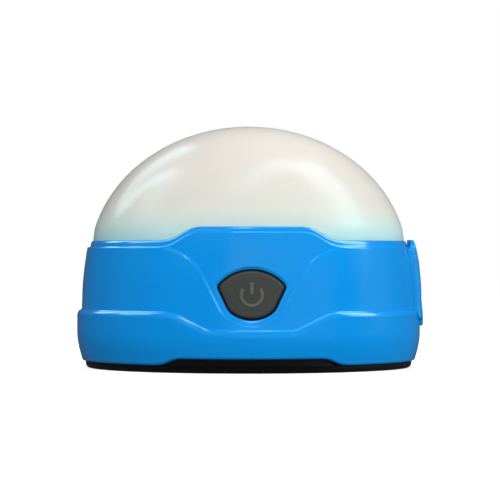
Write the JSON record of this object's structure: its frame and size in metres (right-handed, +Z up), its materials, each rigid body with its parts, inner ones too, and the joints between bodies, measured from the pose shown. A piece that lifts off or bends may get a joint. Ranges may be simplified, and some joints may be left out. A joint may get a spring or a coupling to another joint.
{
  "type": "pocket lantern",
  "caption": "Pocket dome lantern: milky diffuser dome on a round shell with a press button, covered charging port, folding wire hook and magnet in the base.",
  "frame": {"origin": "middle of the resting face, on the surface that the lantern stands on", "axes": "+Z up through the dome, -Y towards the power button, +X towards the charging port"},
  "size_m": [0.0581, 0.0575, 0.0403],
  "materials": {
    "shell_blue": "glossy injection-moulded",
    "dome_milky": "milky translucent, satin gloss",
    "button_rubber": "matte rubber",
    "symbol_rubber": "matte rubber, lighter",
    "dark_rubber": "matte",
    "cover_blue": "smooth satin rubber",
    "base_black": "fine texture",
    "white_plastic": "smooth",
    "board_green": "solder mask",
    "board_white": "white solder mask",
    "led_yellow": "phosphor",
    "led_red": "clear red",
    "chip_black": "moulded",
    "ceramic_tan": "fired",
    "steel": "drawn wire and screws",
    "nickel": "plated",
    "cell_silver": "foil pouch",
    "foam_grey": "foam tape",
    "wire_red": "insulation"
  },
  "bodies": {
    "lantern": {"housing": "shell_blue", "diffuser_dome": "dome_milky", "dome_seal_ring": "dark_rubber", "inner_frame": "white_plastic", "frame_screws": "steel", "led_board": "board_white", "white_leds": "led_yellow", "red_leds": "led_red", "reflector_plate": "white_plastic", "led_board_screws": "steel", "control_board": "board_green", "board_screws": "steel", "charge_ic": "chip_black", "power_inductor": "chip_black", "smd_capacitors": "ceramic_tan", "indicator_led": "led_red", "usb_receptacle": "nickel", "usb_tongue": "chip_black", "switch_body": "chip_black", "button_membrane": "dark_rubber", "button_retainer": "base_black", "button_retainer_screws": "steel", "battery_cell": "cell_silver", "battery_pad": "foam_grey", "battery_connector": "white_plastic", "battery_leads": "wire_red", "led_leads": "wire_red", "base_plate": "base_black", "base_seal_ring": "dark_rubber", "base_screws": "steel", "magnet": "nickel", "magnet_cap": "base_black", "hook_clamp": "base_black", "hook_clamp_screws": "steel", "port_cover_anchor": "cover_blue"},
    "button": {"power_button": "button_rubber", "button_symbol": "symbol_rubber"},
    "plunger": {"switch_plunger": "white_plastic"},
    "port_cover": {"port_cover": "cover_blue"},
    "hook": {"hanging_hook": "steel"}
  },
  "joints": [
    {"name": "button_press", "type": "slide", "parent": "lantern", "child": "button", "axis": [0, 1, 0], "range_m": [0, 0.0005], "stiffness_N_per_m": 300, "springref_m": -0.002},
    {"name": "plunger_press", "type": "slide", "parent": "lantern", "child": "plunger", "axis": [0, 1, 0], "range_m": [0, 0.0005]},
    {"name": "port_cover_open", "type": "hinge", "parent": "lantern", "child": "port_cover", "pos_m": [0.02885, 0, 0.0073], "axis": [0, 1, 0], "range_deg": [0, 100]},
    {"name": "hook_fold", "type": "hinge", "parent": "lantern", "child": "hook", "pos_m": [0, 0.015, 0.0019], "axis": [1, 0, 0], "range_deg": [0, 95]}
  ],
  "couplings": [
    {"joint": "plunger_press", "follows": "button_press", "ratio": 1}
  ]
}
